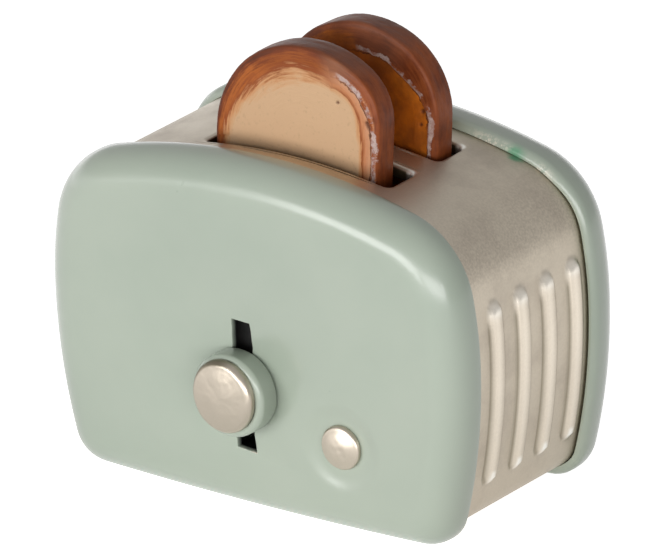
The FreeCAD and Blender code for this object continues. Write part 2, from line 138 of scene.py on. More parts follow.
# Puts the object's place into its mesh, smooths it, gives it its material and body, and hides the solids it
# replaces
def finishPiece(piece, material, body, replaced=(), angle=35):
    fixPlace(piece)
    bpy.ops.object.shade_smooth_by_angle(angle=math.radians(angle))
    piece.data.materials.clear()
    piece.data.materials.append(material)
    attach(piece, body)
    if replaced:
        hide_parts(*replaced)
    print("finished", piece.name, len(piece.data.vertices), "vertices")


def newObject(name):
    piece = bpy.context.object
    piece.name = name
    return piece


# A cylinder that lies along Y, or stands upright
def addCylinder(name, place, radius, depth, count, upright=False):
    deselectAll()
    bpy.ops.mesh.primitive_cylinder_add(vertices=count, radius=radius * mm, depth=depth * mm,
                                        location=[c * mm for c in place],
                                        rotation=(0 if upright else math.pi / 2, 0, 0))
    return newObject(name)


# A grid primitive, each vertex moved to its place on the piece; columns run round, rows run across
def bentSheet(name, columns, rows, place):
    deselectAll()
    bpy.ops.mesh.primitive_grid_add(x_subdivisions=columns, y_subdivisions=rows, size=2)
    piece = newObject(name)
    for vertex in piece.data.vertices:
        column = round((vertex.co.x + 1) / 2 * columns)
        row = round((vertex.co.y + 1) / 2 * rows)
        vertex.co = Vector(place(column, row)) * mm
    return piece


# Centre of the circle that touches two larger circles from inside
def cornerCentre(first, firstReach, second, secondReach):
    dx, dz = second[0] - first[0], second[1] - first[1]
    gap = math.hypot(dx, dz)
    along = (firstReach ** 2 - secondReach ** 2 + gap ** 2) / (2 * gap)
    across = math.sqrt(firstReach ** 2 - along ** 2)
    base = (first[0] + along * dx / gap, first[1] + along * dz / gap)
    return max((base[0] + s * across * dz / gap, base[1] - s * across * dx / gap) for s in (1, -1))


# Centres of the outline's arcs, as places across and up
upperSide = (case["halfWidth"] - case["upperSide"], case["waist"])
lowerSide = (case["halfWidth"] - case["lowerSide"], case["waist"])
crown = (0.0, case["height"] - case["top"])
belly = (0.0, case["bottom"])
shoulder = cornerCentre(upperSide, case["upperSide"] - case["topCorner"],
                        crown, case["top"] - case["topCorner"])
foot = cornerCentre(lowerSide, case["lowerSide"] - case["footCorner"],
                    belly, case["bottom"] - case["footCorner"])


def direction(start, end):
    return math.atan2(end[1] - start[1], end[0] - start[0])


# Stops along the case outline, seen from the front, from the right foot over the top and back;
# with flat feet the loop stays open, else its last run is the bowed lower edge
def outlineStops(spacing, flatFeet=False):
    footStart = -math.pi / 2 if flatFeet else direction(belly, foot)
    footTurn, sideTurn = direction(lowerSide, foot), direction(upperSide, shoulder)
    topTurn = direction(crown, shoulder)
    right = [(foot, case["footCorner"], footStart, footTurn), (lowerSide, case["lowerSide"], footTurn, 0.0),
             (upperSide, case["upperSide"], 0.0, sideTurn), (shoulder, case["topCorner"], sideTurn, topTurn)]
    runs = right + [(crown, case["top"], topTurn, math.pi - topTurn)]
    runs += [((-c[0], c[1]), r, math.pi - e, math.pi - s) for c, r, s, e in reversed(right)]
    if not flatFeet:
        runs.append((belly, case["bottom"], math.pi - footStart - 2 * math.pi, footStart))
    stops = []
    for centre, radius, start, end in runs:
        count = max(2, round(radius * (end - start) / spacing))
        for n in range(count):
            stops.append((centre[0], centre[1], radius, start + (end - start) * n / count))
    if flatFeet:
        stops.append((-foot[0], foot[1], case["footCorner"], 1.5 * math.pi))
    return stops


# A stop's place when the outline is drawn in by an inset
def onOutline(stop, inset, y):
    x, z, radius, angle = stop
    return (x + (radius - inset) * math.cos(angle), y, z + (radius - inset) * math.sin(angle))


def smoothStep(value):
    value = min(1.0, max(0.0, value))
    return value * value * (3 - 2 * value)


# Material helpers; the tree is the one that new nodes go into
tree = {}


def useTree(owner):
    owner.use_nodes = True
    tree["nodes"], tree["links"] = owner.node_tree.nodes, owner.node_tree.links


def addNode(kind, **settings):
    node = tree["nodes"].new("ShaderNode" + kind)
    for key, value in settings.items():
        setattr(node, key, value)
    return node


def wire(output, socket):
    tree["links"].new(output, socket)


# Sets sockets to numbers, colours or other nodes' outputs
def feed(node, *pairs):
    for key, value in pairs:
        if isinstance(value, (float, int)):
            node.inputs[key].default_value = value
        elif isinstance(value, tuple):
            node.inputs[key].default_value = (*value, 1)
        else:
            wire(value, node.inputs[key])
    return node


def newMaterial(name):
    material = bpy.data.materials.new(name)
    useTree(material)
    return material, tree["nodes"]["Principled BSDF"], addNode("TexCoord").outputs["Object"]


def noiseNode(coords, scale, detail=3.0, rough=0.5, stretch=None):
    if stretch:
        mapping = addNode("Mapping")
        mapping.inputs["Scale"].default_value = stretch
        wire(coords, mapping.inputs["Vector"])
        coords = mapping.outputs["Vector"]
    return feed(addNode("TexNoise"), ("Scale", scale), ("Detail", detail), ("Roughness", rough),
                ("Vector", coords)).outputs["Fac"]


def rampNode(value, stops):
    node = addNode("ValToRGB")
    ramp = node.color_ramp
    while len(ramp.elements) < len(stops):
        ramp.elements.new(0.5)
    for element, (place, colour) in zip(ramp.elements, stops):
        element.position = place
        element.color = (*colour, 1)
    wire(value, node.inputs["Fac"])
    return node.outputs["Color"]


def rangeNode(value, low, high, newLow=0.0, newHigh=1.0):
    return feed(addNode("MapRange"), ("From Min", low), ("From Max", high), ("To Min", newLow),
                ("To Max", newHigh), ("Value", value)).outputs["Result"]


def mixNode(factor, first, second, blend="MIX"):
    return feed(addNode("Mix", data_type="RGBA", blend_type=blend),
                (0, factor), (6, first), (7, second)).outputs[2]


# Goes from the first value to the second as the factor goes from 0 to 1
def blendValues(factor, first, second):
    return feed(addNode("Mix"), (0, factor), (2, first), (3, second)).outputs[0]


def mathNode(operation, first, second):
    return feed(addNode("Math", operation=operation), (0, first), (1, second)).outputs[0]


def times(first, second):
    return mathNode("MULTIPLY", first, second)


def plus(first, second):
    return mathNode("ADD", first, second)


def minus(first, second):
    return mathNode("SUBTRACT", first, second)


def attributeNode(name):
    return addNode("Attribute", attribute_name=name).outputs["Fac"]


def addBump(shader, height, distance, strength):
    node = feed(addNode("Bump"), ("Distance", distance), ("Strength", strength), ("Height", height))
    wire(node.outputs["Normal"], shader.inputs["Normal"])


def setFloats(piece, **values):
    for name in values:
        piece.data.attributes.new(name, "FLOAT", "POINT").data.foreach_set("value", values[name])


# Camera: the photograph's view, found from the case's edges
camera = {
    "azimuth": 36.76, "elevation": 21.97, "roll": -1.72, "distance": 1498.5,
    "target": (-0.08, 0.0, 23.72), "lens": 693.7, "shift": (0.00244, 0.00609),
}


def makeCamera():
    turn, lift, roll = (math.radians(camera[k]) for k in ("azimuth", "elevation", "roll"))
    back = Vector((math.sin(turn) * math.cos(lift), -math.cos(turn) * math.cos(lift), math.sin(lift)))
    right = Vector((math.cos(turn), math.sin(turn), 0))
    up = back.cross(right)
    tilted = right * math.cos(roll) + up * math.sin(roll)
    raised = -right * math.sin(roll) + up * math.cos(roll)
    deselectAll()
    bpy.ops.object.camera_add()
    eye = newObject("photoCamera")
    place = (Vector(camera["target"]) + back * camera["distance"]) * mm
    eye.matrix_world = Matrix.Translation(place) @ Matrix((tilted, raised, back)).transposed().to_4x4()
    eye.data.sensor_width = 36
    eye.data.lens = camera["lens"]
    eye.data.shift_x, eye.data.shift_y = camera["shift"]
    eye.data.clip_start, eye.data.clip_end = 0.05, 20
    bpy.context.scene.camera = eye


# Studio: pale floor and sky, a long low panel at the front left and a broad one on the camera's side;
# each lamp has its place, width, height and power
studio = {
    "floorSize": 4.0, "floorColor": (0.86, 0.86, 0.85), "floorPale": (0.95, 0.95, 0.94),
    "floorGlow": 0.90, "shadedNearGlow": 0.56, "farGlow": 0.84, "glowReach": (0.03, 0.075),
    "skyColor": (1.0, 1.0, 1.0), "skyLight": 0.20, "skyLow": 1.95, "skyHigh": 0.60,
    "lowReach": (0.0, 0.25), "leftReach": (-0.5, 0.3),
    "lamps": (("frontPanel", (-0.20, -0.87, 0.16), 0.60, 0.28, 2.9),
              ("broadPanel", (0.50, -0.73, 0.16), 0.80, 0.28, 3.5)),
}


# What the camera and mirrored or clear rays see; the second mask is for mirrored rays alone
def lightPathMasks():
    path = addNode("LightPath").outputs
    seen = mathNode("MAXIMUM", path["Is Camera Ray"], path["Is Glossy Ray"])
    return mathNode("MAXIMUM", seen, path["Is Transmission Ray"]), path["Is Glossy Ray"]


def makeStudio():
    deselectAll()
    bpy.ops.mesh.primitive_plane_add(size=studio["floorSize"], location=(0, 0, 0))
    floor = newObject("studioFloor")
    material, shader, coords = newMaterial("paleFloor")
    tree["nodes"].remove(shader)
    diffuse, glow, both = addNode("BsdfDiffuse"), addNode("Emission"), addNode("AddShader")
    wire(mixNode(noiseNode(coords, 3.0), studio["floorColor"], studio["floorPale"]), diffuse.inputs["Color"])
    seen, mirrored = lightPathMasks()
    # Painted shadow: mirrored rays see the floor's glow weaker near the case, standing in for the case's shadow
    # on the floor
    reach = addNode("VectorMath", operation="LENGTH")
    wire(coords, reach.inputs[0])
    around = rangeNode(reach.outputs["Value"], *studio["glowReach"], studio["shadedNearGlow"], studio["farGlow"])
    wire(times(seen, blendValues(mirrored, studio["floorGlow"], around)), glow.inputs["Strength"])
    wire(diffuse.outputs[0], both.inputs[0])
    wire(glow.outputs[0], both.inputs[1])
    wire(both.outputs[0], tree["nodes"]["Material Output"].inputs["Surface"])
    floor.data.materials.append(material)

    world = bpy.data.worlds.new("paleRoom")
    useTree(world)
    bpy.context.scene.world = world
    sky = tree["nodes"]["Background"]
    sky.inputs["Color"].default_value = (*studio["skyColor"], 1)
    seen, mirrored = lightPathMasks()
    heading = addNode("SeparateXYZ")
    wire(addNode("TexCoord").outputs["Generated"], heading.inputs[0])
    lowLeft = times(rangeNode(heading.outputs["Z"], *studio["lowReach"], 1.0, 0.0),
                    rangeNode(heading.outputs["X"], *studio["leftReach"], 1.0, 0.0))
    upward = blendValues(lowLeft, studio["skyHigh"], studio["skyLow"])
    wire(blendValues(seen, studio["skyLight"], blendValues(mirrored, 1.0, upward)), sky.inputs["Strength"])

    for name, place, width, height, power in studio["lamps"]:
        deselectAll()
        bpy.ops.object.light_add(type="AREA", location=place)
        lamp = newObject(name)
        lamp.data.shape = "RECTANGLE"
        lamp.data.size, lamp.data.size_y = width, height
        lamp.data.energy = power
        lamp.rotation_mode = "QUATERNION"
        lamp.rotation_quaternion = (Vector((0, 0, 0.02)) - lamp.location).to_track_quat("-Z", "Y")
    bpy.context.scene.view_settings.view_transform = "Standard"
    print("camera and studio ready")


makeCamera()
makeStudio()


# Enamel: thick gloss paint with a faint uneven flow, thin and chipped where the wear attribute says, and
# near-black, without coat, where painted shade is marked
enamel = {
    "colour": (0.452, 0.518, 0.425), "lighter": (0.478, 0.538, 0.444), "deeper": (0.42, 0.49, 0.40),
    "roughness": 0.32, "coat": 0.9, "coatRoughness": 0.18,
    "bare": (0.86, 0.80, 0.68), "pool": (0.10, 0.37, 0.20), "shade": (0.004, 0.004, 0.004),
}


def makeEnamel():
    material, shader, coords = newMaterial("sageEnamel")
    cloud = noiseNode(coords, 38.0, 4.0, 0.55)
    colour = rampNode(cloud, [(0.3, enamel["deeper"]), (0.5, enamel["colour"]), (0.72, enamel["lighter"])])
    chips = times(attributeNode("wear"), rangeNode(noiseNode(coords, 1500.0, 4.0, 0.7), 0.46, 0.54))
    colour = mixNode(chips, colour, enamel["bare"])
    uneven = rangeNode(noiseNode(coords, 600.0, 3.0, 0.6), 0.3, 0.55, 0.2, 1.0)
    colour = mixNode(times(attributeNode("pooled"), uneven), colour, enamel["pool"])
    # Painted shade: the lever slot's inner walls and the knob cup's side wall are darkened towards black
    inSlot = attributeNode("inSlot")
    wire(mixNode(inSlot, colour, enamel["shade"]), shader.inputs["Base Color"])
    wire(times(minus(1.0, inSlot), enamel["coat"]), shader.inputs["Coat Weight"])
    patches = noiseNode(coords, 90.0, 4.0, 0.6)
    rough = rangeNode(patches, 0.3, 0.7, enamel["roughness"] - 0.05, enamel["roughness"] + 0.08)
    wire(mathNode("MAXIMUM", rough, inSlot), shader.inputs["Roughness"])
    shader.inputs["Coat Roughness"].default_value = enamel["coatRoughness"]
    flow = noiseNode(coords, 160.0, 2.0, 0.4)
    grain = noiseNode(coords, 1500.0, 2.0, 0.5)
    addBump(shader, minus(plus(flow, times(grain, 0.05)), times(chips, 0.25)), 0.00010, 0.4)
    return material


enamelPaint = makeEnamel()
print("enamel ready")


# Shells: outline drawn, pushed back, front edge rolled, then walled
shell = {
    "spacing": 0.72, "rollSteps": 14, "lipRound": 0.3, "flatRing": 0.22,
    "slotLow": 8.3, "slotHigh": 24.3, "slotHalf": 1.36, "slotSoft": 0.09,
    "rearCurl": 1.14, "sideGap": 0.13, "sideBack": 0.5,
    "dialX": 13.2, "dialZ": 11.4, "dimpleReach": 5.8, "dimpleFloor": 3.5, "dimpleDepth": 0.39,
    "dialHole": 1.05, "screwHole": 0.95,
    "screws": ((-22.0, 8.5), (22.0, 8.5), (-22.0, 31.0), (22.0, 31.0)),
}


# The dish opens to the rear; its flat face looks to the front; a curled lip draws back along the sides
def makeDish(name, depth, curl):
    stops = outlineStops(shell["spacing"])
    lip = case["faceY"] - depth
    start = case["faceY"] - case["roll"]
    rows = [(0.0, -lip)]
    if curl:
        turns = [math.pi / 2 * n / 8 for n in range(9)]
        rows = [(curl * (1 - math.sin(t)), -lip - curl * (1 - math.cos(t))) for t in turns]
    rows.append((0.0, -start))
    for n in range(1, shell["rollSteps"] + 1):
        angle = math.pi / 2 * n / shell["rollSteps"]
        rows.append((case["roll"] * (1 - math.cos(angle)), -start - case["roll"] * math.sin(angle)))
    rows.append((case["roll"] + shell["flatRing"], -case["faceY"]))

    def place(column, row):
        stop = stops[column % len(stops)]
        inset, y = rows[row]
        if curl and row < 9:
            share = smoothStep((abs(math.cos(stop[3])) - 0.55) / 0.4)
            inset *= 1 - shell["sideGap"] * share
            y -= shell["sideBack"] * share
        return onOutline(stop, inset, y)
    dish = bentSheet(name, len(stops), len(rows) - 1, place)
    mergeDoubles(dish, 0.002)
    editPiece(dish, "EDGE")
    front = -case["faceY"] * mm
    pick(dish, "EDGE", lambda e: e.is_boundary and all(abs(v.co.y - front) < 1e-6 for v in e.verts))
    bpy.ops.mesh.edge_face_add()
    leaveEdit()
    outwards(dish, lambda p: p.area, Vector((0, -1, 0)))
    addModifier(dish, "SOLIDIFY", thickness=case["wall"] * mm, offset=-1, use_even_offset=True)
    editPiece(dish, "EDGE")
    pick(dish, "EDGE", lambda e: all(abs(v.co.y + lip * mm) < 0.9 * mm for v in e.verts)
         and len(e.link_faces) == 2 and e.calc_face_angle(0) > 1.0)
    bpy.ops.mesh.bevel(offset=(0.06 if curl else shell["lipRound"]) * mm, segments=4)
    leaveEdit()
    return dish


def roundHole(piece, place, radius, depth=6, count=32, upright=False):
    cutWith(piece, addCylinder("holeCutter", place, radius, depth, count, upright))


# Nudges along the lever slot's two long edges, from the bottom up: the hand-cut edge wanders
slotNudges = {
    "left": (0.20, 0.16, 0.10, 0.03, -0.03, 0.0, 0.0, 0.0, -0.02,
             0.0, -0.04, -0.06, -0.08, -0.06, -0.10, -0.08, -0.16),
    "right": (0.26, 0.16, -0.02, -0.05, 0.0, 0.0, 0.04, -0.02, 0.03,
              0.0, -0.05, 0.02, 0.0, 0.12, -0.02, -0.10, -0.30),
}


def makeSlotCutter():
    deselectAll()
    low, high = shell["slotLow"], shell["slotHigh"]
    bpy.ops.mesh.primitive_cube_add(size=1, location=(case["leverX"] * mm, -case["faceY"] * mm,
                                                      (low + high) / 2 * mm))
    cutter = newObject("slotCutter")
    cutter.scale = (2 * shell["slotHalf"] * mm, 6 * mm, (high - low) * mm)
    fixPlace(cutter)
    editPiece(cutter, "EDGE")
    pick(cutter, "EDGE", lambda e: abs(e.verts[0].co.z - e.verts[1].co.z) > 5 * mm)
    bpy.ops.mesh.subdivide(number_cuts=len(slotNudges["left"]) - 2)
    leaveEdit()
    steps = len(slotNudges["left"]) - 1
    for vertex in cutter.data.vertices:
        rank = round((vertex.co.z / mm - low) / (high - low) * steps)
        onLeft = vertex.co.x < case["leverX"] * mm
        vertex.co.x += slotNudges["left" if onLeft else "right"][rank] * mm
        if rank == 0:
            vertex.co.z += (0.05 if onLeft else -0.2) * mm
        if rank == steps:
            vertex.co.z += (0.05 if onLeft else -0.05) * mm
    return cutter


# The dimple is turned about the dial's axis: in from the face, through the hole and out again behind
def makeDimple():
    reach, floor, depth = shell["dimpleReach"], shell["dimpleFloor"], shell["dimpleDepth"]
    steps = 12
    front = []
    for n in range(steps + 1):
        fall = 0.5 - 0.5 * math.cos(math.pi * n / steps)
        front.append((reach + (floor - reach) * n / steps, depth * fall))
    hole = shell["dialHole"]
    front = [(reach + 0.2, 0.0)] + front + [(hole + 0.15, depth), (hole, depth + 0.12)]
    profile = front + [(r, d + case["wall"]) for r, d in reversed(front[:-1])]
    count = 72
    dimple = bentSheet("dimple", count, len(profile) - 1, lambda column, row: (
        shell["dialX"] + profile[row][0] * math.cos(2 * math.pi * column / count),
        -case["faceY"] + profile[row][1],
        shell["dialZ"] + profile[row][0] * math.sin(2 * math.pi * column / count)))
    return dimple


def softenSlot(piece):
    front = -case["faceY"] * mm
    low, high = (shell["slotLow"] - 1) * mm, (shell["slotHigh"] + 1) * mm

    def atSlot(edge):
        return (all(abs(v.co.y - front) < 1e-6 and abs(v.co.x - case["leverX"] * mm) < 3 * mm
                    and low < v.co.z < high for v in edge.verts)
                and len(edge.link_faces) == 2 and edge.calc_face_angle(0) > 1.0)
    editPiece(piece, "EDGE")
    print("slot edges softened:", pick(piece, "EDGE", atSlot))
    bpy.ops.mesh.bevel(offset=shell["slotSoft"] * mm, segments=3)
    leaveEdit()


def makeShells():
    front = makeDish("shellFront", case["frontDepth"], 0.0)
    rear = makeDish("shellRear", case["rearDepth"], shell["rearCurl"])
    rear.rotation_euler = (0, 0, math.pi)
    fixPlace(rear)
    cutWith(front, makeSlotCutter())
    roundHole(front, (shell["dialX"], -case["faceY"], shell["dialZ"]), shell["dimpleReach"] + 0.2, count=72)
    editPiece(front, "FACE")
    reach = (shell["dimpleReach"] + 0.21) * mm
    centre = Vector((shell["dialX"] * mm, 0, shell["dialZ"] * mm))
    pick(front, "FACE", lambda f: all((Vector((v.co.x, 0, v.co.z)) - centre).length < reach for v in f.verts))
    bpy.ops.mesh.delete(type="FACE")
    leaveEdit()
    joinInto(front, [makeDimple()])
    outwards(front)
    softenSlot(front)
    for x, z in shell["screws"]:
        roundHole(rear, (x, case["faceY"], z), shell["screwHole"])
    return front, rear


# Wear on the rims: chipped on the rear shell's upper right lip, with one drop of pooled paint; the same table
# places painted shade in the lever slot and painted glints at the bread slots' corners
wearAndLightMarks = {
    "rearChips": ((15.6, 41.4, 3.2), (18.0, 40.7, 1.6), (23.4, 38.9, 1.9)), "rearPool": (19.3, 40.2, 1.5),
    "lipReach": 0.55, "poolReach": 1.3, "cutFront": -16.84, "cutBack": -16.76,
    "cutReach": 2.4, "cutMargin": 0.8, "glintReach": 0.45,
    "bandPool": (19.6, 10.3, 39.8), "bandGlints": ((13.8, -2.4, 41.0), (13.8, 7.35, 41.0)),
}


def paintWearAndShade(piece, isRear):
    wear, pooled, inSlot = [], [], []
    lip = case["faceY"] - case["rearDepth" if isRear else "frontDepth"]
    for vertex in piece.data.vertices:
        x, y, z = vertex.co / mm
        nearLip = max(0.0, 1 - abs(abs(y) - lip) / wearAndLightMarks["lipReach"])
        amount = pool = 0.0
        if isRear:
            for cx, cz, reach in wearAndLightMarks["rearChips"]:
                amount = max(amount, nearLip * max(0.0, 1 - math.hypot(x - cx, z - cz) / reach))
            cx, cz, reach = wearAndLightMarks["rearPool"]
            pool = max(0.0, 1 - math.hypot(x - cx, z - cz) / reach)
            pool *= max(0.0, 1 - abs(y - lip) / wearAndLightMarks["poolReach"])
        atSlot = (not isRear and abs(x - case["leverX"]) < wearAndLightMarks["cutReach"]
                  and shell["slotLow"] - wearAndLightMarks["cutMargin"] < z < shell["slotHigh"] + wearAndLightMarks["cutMargin"])
        if atSlot and x > case["leverX"] and wearAndLightMarks["cutFront"] < y < wearAndLightMarks["cutBack"]:
            amount = 1.0
        wear.append(amount)
        pooled.append(min(0.85, 1.6 * pool))
        # Painted shade: the lever slot's walls, behind its front edge, are marked to go near-black
        inSlot.append(1.0 if atSlot and y > wearAndLightMarks["cutBack"] else 0.0)
    setFloats(piece, wear=wear, pooled=pooled, inSlot=inSlot)


shellFront, shellRear = makeShells()
paintWearAndShade(shellFront, False)
paintWearAndShade(shellRear, True)
finishPiece(shellFront, enamelPaint, "case", ("front_shell",))
finishPiece(shellRear, enamelPaint, "case", ("rear_shell",))
print("shells ready")


# Nickel plate: satin and mottled, with painted sheen where the ribs stand proud, painted shade where the shade
# marks are, and painted glints at small spots
nickel = {
    "colour": (0.55, 0.485, 0.395), "darker": (0.46, 0.40, 0.33), "bright": (0.80, 0.715, 0.60),
    "cap": (0.50, 0.44, 0.365), "dial": (0.58, 0.51, 0.425), "seam": (0.13, 0.11, 0.065),
    "glint": (1.0, 0.98, 0.92), "roughness": 0.40, "sandLow": (0.0305, 0.0335), "sandHigh": (0.036, 0.0405),
}


def makeNickel(name, tone, roughness, mottle):
    material, shader, coords = newMaterial(name)
    smudge = noiseNode(coords, 110.0, 5.0, 0.62)
    grain = noiseNode(coords, 3200.0, 2.0, 0.6)
    colour = rampNode(smudge, [(0.30, nickel["darker"]), (0.52, nickel["colour"]), (0.8, nickel["colour"])])
    colour = mixNode(0.85 if tone else 0.0, colour, tone or nickel["colour"])
    rib = attributeNode("rib")
    # Painted sheen along the ribs' crests
    colour = mixNode(rib, colour, nickel["bright"])
    colour = mixNode(attributeNode("seam"), colour, nickel["seam"])
    colour = mixNode(attributeNode("glint"), colour, nickel["glint"])
    heights = addNode("SeparateXYZ")
    wire(coords, heights.inputs[0])
    sandy = times(rangeNode(heights.outputs["Z"], *nickel["sandLow"], 0.25, 1.0),
                  rangeNode(heights.outputs["Z"], *nickel["sandHigh"], 1.0, 0.25))
    freckles = times(sandy, rangeNode(grain, 0.35, 0.65, -mottle, mottle))
    freckled = plus(freckles, 1.0)
    tint = addNode("CombineColor")
    for key in ("Red", "Green", "Blue"):
        wire(freckled, tint.inputs[key])
    colour = mixNode(1.0, colour, tint.outputs["Color"], "MULTIPLY")
    pooled = attributeNode("pooled")
    colour = mixNode(pooled, colour, enamel["pool"])
    wire(colour, shader.inputs["Base Color"])
    wire(minus(1.0, pooled), shader.inputs["Metallic"])
    rough = rangeNode(smudge, 0.3, 0.7, roughness + 0.08, roughness - 0.05)
    wire(minus(rough, times(rib, 0.1)), shader.inputs["Roughness"])
    sand = times(grain, times(sandy, 0.25))
    addBump(shader, plus(sand, smudge), 0.00006, 0.5)
    return material


bandPlate = makeNickel("satinNickelBand", None, nickel["roughness"], 0.10)
capPlate = makeNickel("brightNickelCap", nickel["cap"], 0.32, 0.04)
dialPlate = makeNickel("brightNickelDial", nickel["dial"], 0.34, 0.06)
print("nickel ready")


# Band: one sheet bent along the outline, ribs pushed out, slots let in and turned down
band = {
    "inset": 1.2, "sheet": 0.5, "halfDepth": 14.055, "footLap": 4.1, "spacing": 0.55, "rows": 100,
    "ribYs": (-7.0, -1.8, 3.4, 8.6), "ribLow": 6.8, "ribStart": 8.1, "ribEnd": 28.3, "ribHigh": 29.2,
    "ribRise": 0.6, "ribTop": 0.62, "ribFlank": 1.48,
    "slotHalfLength": 13.2, "slotHalf": 2.6, "slotCorner": 0.8, "bend": 0.58, "collar": 1.5,
    "rivetInset": 2.2, "rivetY": 8.0, "rivetHole": 0.73,
}


# Nearest height on a rib's middle line
def ribLevel(z):
    return min(max(z, band["ribStart"]), band["ribEnd"])


# How far up a rib a place on the band's side stands, from 0 to 1
def ribShare(y, z):
    away = min(math.hypot(y - ribY, z - ribLevel(z)) for ribY in band["ribYs"])
    return smoothStep((band["ribFlank"] - away) / (band["ribFlank"] - band["ribTop"]))


# A rib's painted sheen along its crest, the painted shade line along its front base, and the painted highlights
# at its two ends
def ribLook(y, z):
    crestSheen = seam = glint = 0.0
    ending = smoothStep((band["ribHigh"] - 1.2 - z) / 1.6)
    for ribY in band["ribYs"]:
        across = y - ribY
        away = math.hypot(across, z - ribLevel(z))
        # Painted sheen: lighter along the front side of each rib's crest
        if away < band["ribFlank"]:
            crestSheen = max(crestSheen, smoothStep(1 - abs(across + 0.42) / 1.3) * 0.95)
        if across < 0:
            # Painted shade: a dark line along the rib's front base, fading towards its upper end
            line = smoothStep(1 - abs(away - band["ribFlank"] + 0.12) / 0.34)
            seam = max(seam, line * 0.7 * ending * smoothStep(-across))
        # Painted highlights: a bright spot at the rib's lower end and a fainter one at its upper end
        spot = math.hypot((across + 0.1) / 0.62, (z - band["ribLow"] - 0.85) / 0.75)
        crest = smoothStep((z - band["ribEnd"] + 0.9) / 1.2) * smoothStep(1.25 - away / band["ribFlank"])
        glint = max(glint, smoothStep(1.3 - spot), 0.45 * crest)
    return crestSheen, seam, glint


def bandTop(x):
    reach = case["top"] - band["inset"]
    return case["height"] - case["top"] + math.sqrt(reach ** 2 - x ** 2)


def roundedLoop(halfLength, halfWidth, corner, spacing):
    points = []
    for sx, sy, start in ((1, -1, -90), (1, 1, 0), (-1, 1, 90), (-1, -1, 180)):
        cx, cy = sx * (halfLength - corner), sy * (halfWidth - corner)
        for n in range(7):
            angle = math.radians(start + 15 * n)
            nx, ny = math.cos(angle), math.sin(angle)
            points.append((cx + corner * nx, cy + corner * ny, nx, ny))
        run = 2 * (halfWidth - corner) if start in (-90, 90) else 2 * (halfLength - corner)
        last = points[-1]
        count = max(2, round(run / spacing))
        for n in range(1, count):
            step = run * n / count
            points.append((last[0] - last[3] * step, last[1] + last[2] * step, last[2], last[3]))
    return points


def makeCollar(slotY):
    loop = roundedLoop(band["slotHalfLength"], band["slotHalf"], band["slotCorner"], band["spacing"])
    rows = [(band["bend"] + 0.15, 0.0)]
    for n in range(6):
        turn = math.pi / 2 * n / 5
        rows.append((band["bend"] * (1 - math.sin(turn)), band["bend"] * (1 - math.cos(turn))))
    rows.append((0.0, band["collar"]))

    def place(column, row):
        x, y, nx, ny = loop[column % len(loop)]
        offset, depth = rows[row]
        x, y = x + nx * offset + case["slotX"], y + ny * offset + slotY
        return x, y, bandTop(x) - depth
    return bentSheet("collar", len(loop), len(rows) - 1, place)


def makeBand():
    footEnd, corner = foot[0] - band["footLap"], case["footCorner"]
    ends = [footEnd + band["footLap"] * n / 7 for n in range(7)]
    stops = ([(x, foot[1], corner, -math.pi / 2) for x in ends] + outlineStops(band["spacing"], True)
             + [(-x, foot[1], corner, 1.5 * math.pi) for x in reversed(ends)])
    rows = band["rows"]

    def place(column, row):
        y = band["halfDepth"] * (1 - 2 * row / rows)
        x, y, z = onOutline(stops[column], band["inset"], y)
        if abs(x) > 0.8 * case["halfWidth"]:
            return onOutline(stops[column], band["inset"] - band["ribRise"] * ribShare(y, z), y)
        return x, y, z
    sheet = bentSheet("plateBand", len(stops) - 1, rows, place)
    slotYs = (-case["slotPitch"] / 2, case["slotPitch"] / 2)
    reachX = (band["slotHalfLength"] + band["bend"] + 0.5) * mm
    reachY = (band["slotHalf"] + band["bend"] + 0.34) * mm

    def overSlot(face):
        centre = face.calc_center_median()
        return (centre.z > 30 * mm and abs(centre.x - case["slotX"] * mm) < reachX
                and min(abs(centre.y - y * mm) for y in slotYs) < reachY)
    editPiece(sheet, "FACE")
    pick(sheet, "FACE", overSlot)
    bpy.ops.mesh.delete(type="FACE")
    leaveEdit()
    joinInto(sheet, [makeCollar(y) for y in slotYs])
    editPiece(sheet, "EDGE")
    for y in slotYs:
        pick(sheet, "EDGE", lambda e: e.is_boundary and all(
            abs(v.co.z - bandTop(v.co.x / mm) * mm) < 0.05 * mm and abs(v.co.x) < 20 * mm
            and abs(v.co.y - y * mm) < 4.5 * mm for v in e.verts))
        bpy.ops.mesh.fill(use_beauty=True)
    leaveEdit()
    outwards(sheet, lambda p: p.center.z, Vector((0, 0, 1)))
    addModifier(sheet, "SOLIDIFY", thickness=band["sheet"] * mm, offset=-1, use_even_offset=False)
    height = foot[1] - case["footCorner"] + band["inset"] + band["sheet"] / 2
    for sx, sy in ((-1, -1), (-1, 1), (1, -1), (1, 1)):
        place = (sx * (foot[0] - band["rivetInset"]), sy * band["rivetY"], height)
        roundHole(sheet, place, band["rivetHole"], 2, 24, True)
    return sheet


plateBand = makeBand()
ribs, seams, glints, pooled = [], [], [], []
for vertex in plateBand.data.vertices:
    x, y, z = vertex.co / mm
    onSide = abs(x) > 25 and band["ribLow"] - 1 < z < band["ribHigh"] + 2
    # Painted shade: the bread slots' collar walls get the dark shade colour
    inSlot = (z > 38 and z < bandTop(x) - 0.4 and abs(x - case["slotX"]) < band["slotHalfLength"] + 0.15
              and abs(abs(y) - case["slotPitch"] / 2) < band["slotHalf"] + 0.15)
    crestSheen, seam, glint = ribLook(y, z)
    ribs.append(crestSheen if onSide else 0.0)
    seams.append(seam if onSide else 1.0 if inSlot else 0.0)
    # Painted glints: bright spots at the rear right corners of the bread slots
    corner = min(math.dist((x, y, z), spot) for spot in wearAndLightMarks["bandGlints"])
    glints.append(glint if onSide else smoothStep(1.8 - corner / wearAndLightMarks["glintReach"]))
    pooled.append(min(0.8, 2.2 * max(0.0, 1 - math.dist((x, y, z), wearAndLightMarks["bandPool"]))))
